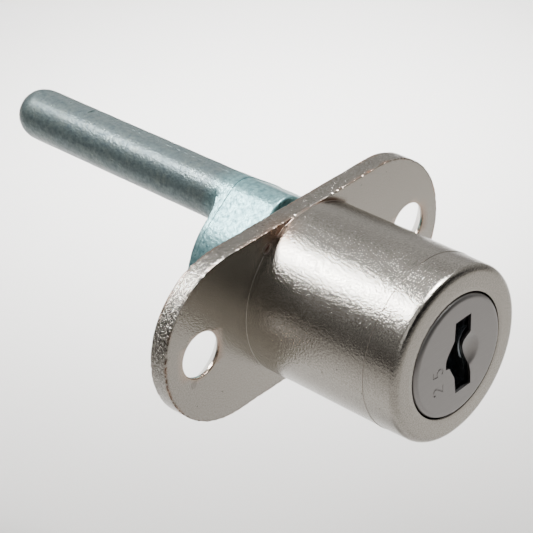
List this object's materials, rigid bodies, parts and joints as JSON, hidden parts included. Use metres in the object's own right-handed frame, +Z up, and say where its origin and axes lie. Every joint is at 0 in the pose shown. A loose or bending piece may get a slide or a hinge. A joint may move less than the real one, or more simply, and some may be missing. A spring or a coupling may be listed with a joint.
{
  "type": "furniture lock",
  "caption": "Flanged furniture lock with a round barrel, a wafer plug with a flat key slot, and a crank with a long eccentric pin that works a locking bar.",
  "frame": {"origin": "on the lock's axis, in the flange's front face, the face that bears on the back of the panel", "axes": "+Y along the lock's axis from the key side to the pin's tip, +X along the flange and its two screw holes, +Z up, the way the eccentric pin stands at rest"},
  "size_m": [0.0438, 0.066, 0.0203],
  "materials": {
    "nickel_plated_zinc": "bright nickel plating on a tumbled zinc die-casting",
    "zinc_alloy_plug": "bare zinc alloy",
    "brushed_stainless": "brushed pressed sheet",
    "blue_zinc_casting": "blue-passivated zinc die-casting",
    "wafer_brass": "blanked brass sheet",
    "spring_steel": "drawn wire",
    "zinc_plated_steel": "bright zinc plating"
  },
  "bodies": {
    "housing": {"housing": "nickel_plated_zinc"},
    "plug": {"plug": "zinc_alloy_plug", "plug_face_cap": "brushed_stainless", "crank_pin": "blue_zinc_casting", "crank_screw": "zinc_plated_steel", "spring_washer": "zinc_plated_steel", "wafer_spring_1": "spring_steel", "wafer_spring_2": "spring_steel", "wafer_spring_3": "spring_steel", "wafer_spring_4": "spring_steel", "wafer_spring_5": "spring_steel", "wafer_spring_6": "spring_steel", "wafer_spring_7": "spring_steel"},
    "wafer_1": {"wafer_1": "wafer_brass"},
    "wafer_2": {"wafer_2": "wafer_brass"},
    "wafer_3": {"wafer_3": "wafer_brass"},
    "wafer_4": {"wafer_4": "wafer_brass"},
    "wafer_5": {"wafer_5": "wafer_brass"},
    "wafer_6": {"wafer_6": "wafer_brass"},
    "wafer_7": {"wafer_7": "wafer_brass"}
  },
  "joints": [
    {"name": "plug_turn", "type": "hinge", "parent": "housing", "child": "plug", "pos_m": [0, 0, 0], "axis": [0, 1, 0], "range_deg": [0, 180]},
    {"name": "wafer_1_slide", "type": "slide", "parent": "plug", "child": "wafer_1", "axis": [0, 0, 1], "range_m": [0, 0.0009], "stiffness_N_per_m": 60, "springref_m": 0.0014, "deforming": ["wafer_spring_1"]},
    {"name": "wafer_2_slide", "type": "slide", "parent": "plug", "child": "wafer_2", "axis": [0, 0, -1], "range_m": [0, 0.0009], "stiffness_N_per_m": 60, "springref_m": 0.0014, "deforming": ["wafer_spring_2"]},
    {"name": "wafer_3_slide", "type": "slide", "parent": "plug", "child": "wafer_3", "axis": [0, 0, 1], "range_m": [0, 0.0009], "stiffness_N_per_m": 60, "springref_m": 0.0014, "deforming": ["wafer_spring_3"]},
    {"name": "wafer_4_slide", "type": "slide", "parent": "plug", "child": "wafer_4", "axis": [0, 0, -1], "range_m": [0, 0.0009], "stiffness_N_per_m": 60, "springref_m": 0.0014, "deforming": ["wafer_spring_4"]},
    {"name": "wafer_5_slide", "type": "slide", "parent": "plug", "child": "wafer_5", "axis": [0, 0, 1], "range_m": [0, 0.0009], "stiffness_N_per_m": 60, "springref_m": 0.0014, "deforming": ["wafer_spring_5"]},
    {"name": "wafer_6_slide", "type": "slide", "parent": "plug", "child": "wafer_6", "axis": [0, 0, -1], "range_m": [0, 0.0009], "stiffness_N_per_m": 60, "springref_m": 0.0014, "deforming": ["wafer_spring_6"]},
    {"name": "wafer_7_slide", "type": "slide", "parent": "plug", "child": "wafer_7", "axis": [0, 0, 1], "range_m": [0, 0.0009], "stiffness_N_per_m": 60, "springref_m": 0.0014, "deforming": ["wafer_spring_7"]}
  ]
}
